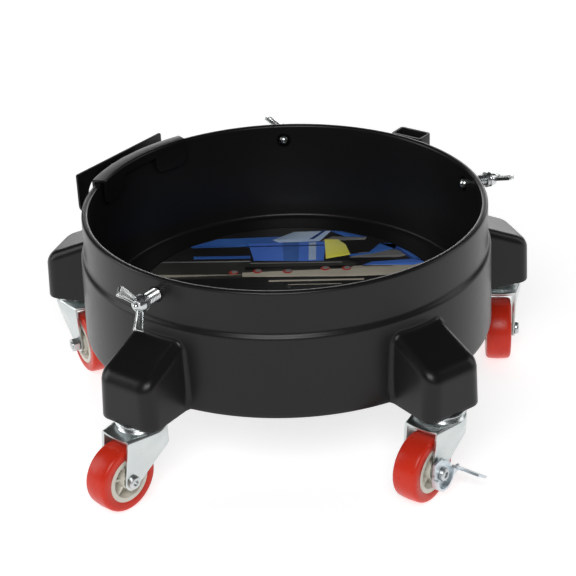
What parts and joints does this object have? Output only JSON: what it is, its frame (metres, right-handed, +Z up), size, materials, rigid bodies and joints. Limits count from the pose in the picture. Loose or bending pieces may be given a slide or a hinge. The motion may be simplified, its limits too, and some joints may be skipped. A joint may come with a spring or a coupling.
{
  "type": "bucket trolley",
  "caption": "Low round tub on swivel casters that carries a wash bucket, with wing screws through the wall to grip it and a clip-on display stand.",
  "frame": {"origin": "centre of the flat ring the bucket stands on, level with that ring", "axes": "+Z up along the tub's axis, -Y to the front between the two front legs, +X to the right"},
  "size_m": [0.3818, 0.3845, 0.164],
  "materials": {
    "tub_plastic": "satin black moulded plastic with fine grain",
    "stand_plastic": "satin black sheet plastic",
    "card_print": "glossy printed card, blue, black and cream with no words",
    "zinc_steel": "bright zinc-plated pressed steel",
    "race_steel": "bright plated bearing cup",
    "stem_steel": "plated steel stem",
    "axle_steel": "plated steel fasteners",
    "hub_plastic": "cream moulded plastic",
    "tyre_urethane": "glossy red polyurethane",
    "insert_steel": "blackened steel threaded insert",
    "clamp_steel": "bright zinc-plated cast wing screw",
    "washer_steel": "plated steel washers"
  },
  "bodies": {
    "tub": {"tub": "tub_plastic", "clamp_insert_front_left": "insert_steel", "clamp_insert_right": "insert_steel", "clamp_insert_back": "insert_steel", "leg_front_left": "tub_plastic", "stem_front_left": "stem_steel", "race_front_left": "race_steel", "leg_front_right": "tub_plastic", "stem_front_right": "stem_steel", "race_front_right": "race_steel", "leg_right": "tub_plastic", "stem_right": "stem_steel", "race_right": "race_steel", "leg_back": "tub_plastic", "stem_back": "stem_steel", "race_back": "race_steel", "leg_left": "tub_plastic", "stem_left": "stem_steel", "race_left": "race_steel", "display_pocket": "tub_plastic"},
    "caster_front_left": {"fork_front_left": "zinc_steel", "axle_front_left": "axle_steel", "sleeve_front_left": "axle_steel", "nut_front_left": "axle_steel"},
    "wheel_front_left": {"hub_front_left": "hub_plastic", "tyre_front_left": "tyre_urethane"},
    "caster_front_right": {"fork_front_right": "zinc_steel", "axle_front_right": "axle_steel", "sleeve_front_right": "axle_steel", "nut_front_right": "axle_steel"},
    "wheel_front_right": {"hub_front_right": "hub_plastic", "tyre_front_right": "tyre_urethane"},
    "brake": {"brake_lever": "zinc_steel"},
    "caster_right": {"fork_right": "zinc_steel", "axle_right": "axle_steel", "sleeve_right": "axle_steel", "nut_right": "axle_steel"},
    "wheel_right": {"hub_right": "hub_plastic", "tyre_right": "tyre_urethane"},
    "caster_back": {"fork_back": "zinc_steel", "axle_back": "axle_steel", "sleeve_back": "axle_steel", "nut_back": "axle_steel"},
    "wheel_back": {"hub_back": "hub_plastic", "tyre_back": "tyre_urethane"},
    "caster_left": {"fork_left": "zinc_steel", "axle_left": "axle_steel", "sleeve_left": "axle_steel", "nut_left": "axle_steel"},
    "wheel_left": {"hub_left": "hub_plastic", "tyre_left": "tyre_urethane"},
    "clamp_pad_front_left": {"clamp_tip_front_left": "clamp_steel"},
    "clamp_wing_front_left": {"clamp_screw_front_left": "clamp_steel", "clamp_washers_front_left": "washer_steel"},
    "clamp_pad_right": {"clamp_tip_right": "clamp_steel"},
    "clamp_wing_right": {"clamp_screw_right": "clamp_steel", "clamp_washers_right": "washer_steel"},
    "clamp_pad_back": {"clamp_tip_back": "clamp_steel"},
    "clamp_wing_back": {"clamp_screw_back": "clamp_steel", "clamp_washers_back": "washer_steel"},
    "stand": {"display_stand": "stand_plastic"},
    "card": {"display_card": "card_print"}
  },
  "joints": [
    {"name": "swivel_front_left", "type": "hinge", "parent": "tub", "child": "caster_front_left", "pos_m": [-0.10492, -0.14441, -0.02], "axis": [0, 0, 1], "continuous": true},
    {"name": "roll_front_left", "type": "hinge", "parent": "caster_front_left", "child": "wheel_front_left", "pos_m": [-0.12061, -0.16123, -0.054], "axis": [0.7314, -0.682, 0], "continuous": true},
    {"name": "swivel_front_right", "type": "hinge", "parent": "tub", "child": "caster_front_right", "pos_m": [0.10492, -0.14441, -0.02], "axis": [0, 0, 1], "continuous": true},
    {"name": "roll_front_right", "type": "hinge", "parent": "caster_front_right", "child": "wheel_front_right", "pos_m": [0.09076, -0.16253, -0.054], "axis": [0.788, -0.6157, 0], "continuous": true},
    {"name": "brake_press", "type": "hinge", "parent": "caster_front_right", "child": "brake", "pos_m": [0.09076, -0.16253, -0.054], "axis": [-0.788, 0.6157, 0], "range_deg": [0, 25]},
    {"name": "swivel_right", "type": "hinge", "parent": "tub", "child": "caster_right", "pos_m": [0.16976, 0.05516, -0.02], "axis": [0, 0, 1], "continuous": true},
    {"name": "roll_right", "type": "hinge", "parent": "caster_right", "child": "wheel_right", "pos_m": [0.16776, 0.03225, -0.054], "axis": [0.9962, -0.0872, 0], "continuous": true},
    {"name": "swivel_back", "type": "hinge", "parent": "tub", "child": "caster_back", "pos_m": [0, 0.1785, -0.02], "axis": [0, 0, 1], "continuous": true},
    {"name": "roll_back", "type": "hinge", "parent": "caster_back", "child": "wheel_back", "pos_m": [0.00478, 0.156, -0.054], "axis": [0.9781, 0.2079, 0], "continuous": true},
    {"name": "swivel_left", "type": "hinge", "parent": "tub", "child": "caster_left", "pos_m": [-0.16976, 0.05516, -0.02], "axis": [0, 0, 1], "continuous": true},
    {"name": "roll_left", "type": "hinge", "parent": "caster_left", "child": "wheel_left", "pos_m": [-0.15897, 0.03485, -0.054], "axis": [0.8829, 0.4695, 0], "continuous": true},
    {"name": "clamp_slide_front_left", "type": "slide", "parent": "tub", "child": "clamp_pad_front_left", "axis": [0.5878, 0.809, 0], "range_m": [0, 0.012]},
    {"name": "clamp_turn_front_left", "type": "hinge", "parent": "clamp_pad_front_left", "child": "clamp_wing_front_left", "pos_m": [-0.09405, -0.12944, 0.068], "axis": [0.5878, 0.809, 0], "range_deg": [0, 2880]},
    {"name": "clamp_slide_right", "type": "slide", "parent": "tub", "child": "clamp_pad_right", "axis": [-0.9511, -0.309, 0], "range_m": [0, 0.012]},
    {"name": "clamp_turn_right", "type": "hinge", "parent": "clamp_pad_right", "child": "clamp_wing_right", "pos_m": [0.15217, 0.04944, 0.068], "axis": [-0.9511, -0.309, 0], "range_deg": [0, 2880]},
    {"name": "clamp_slide_back", "type": "slide", "parent": "tub", "child": "clamp_pad_back", "axis": [0, -1, 0], "range_m": [0, 0.012]},
    {"name": "clamp_turn_back", "type": "hinge", "parent": "clamp_pad_back", "child": "clamp_wing_back", "pos_m": [0, 0.16, 0.068], "axis": [0, -1, 0], "range_deg": [0, 2880]},
    {"name": "stand_lift", "type": "slide", "parent": "tub", "child": "stand", "axis": [0, 0, 1], "range_m": [0, 0.06]},
    {"name": "card_lift", "type": "slide", "parent": "tub", "child": "card", "axis": [0, 0, 1], "range_m": [0, 0.09]}
  ],
  "couplings": [
    {"joint": "clamp_slide_front_left", "follows": "clamp_turn_front_left", "m_per_rad": 0.00023873},
    {"joint": "clamp_slide_right", "follows": "clamp_turn_right", "m_per_rad": 0.00023873},
    {"joint": "clamp_slide_back", "follows": "clamp_turn_back", "m_per_rad": 0.00023873}
  ]
}
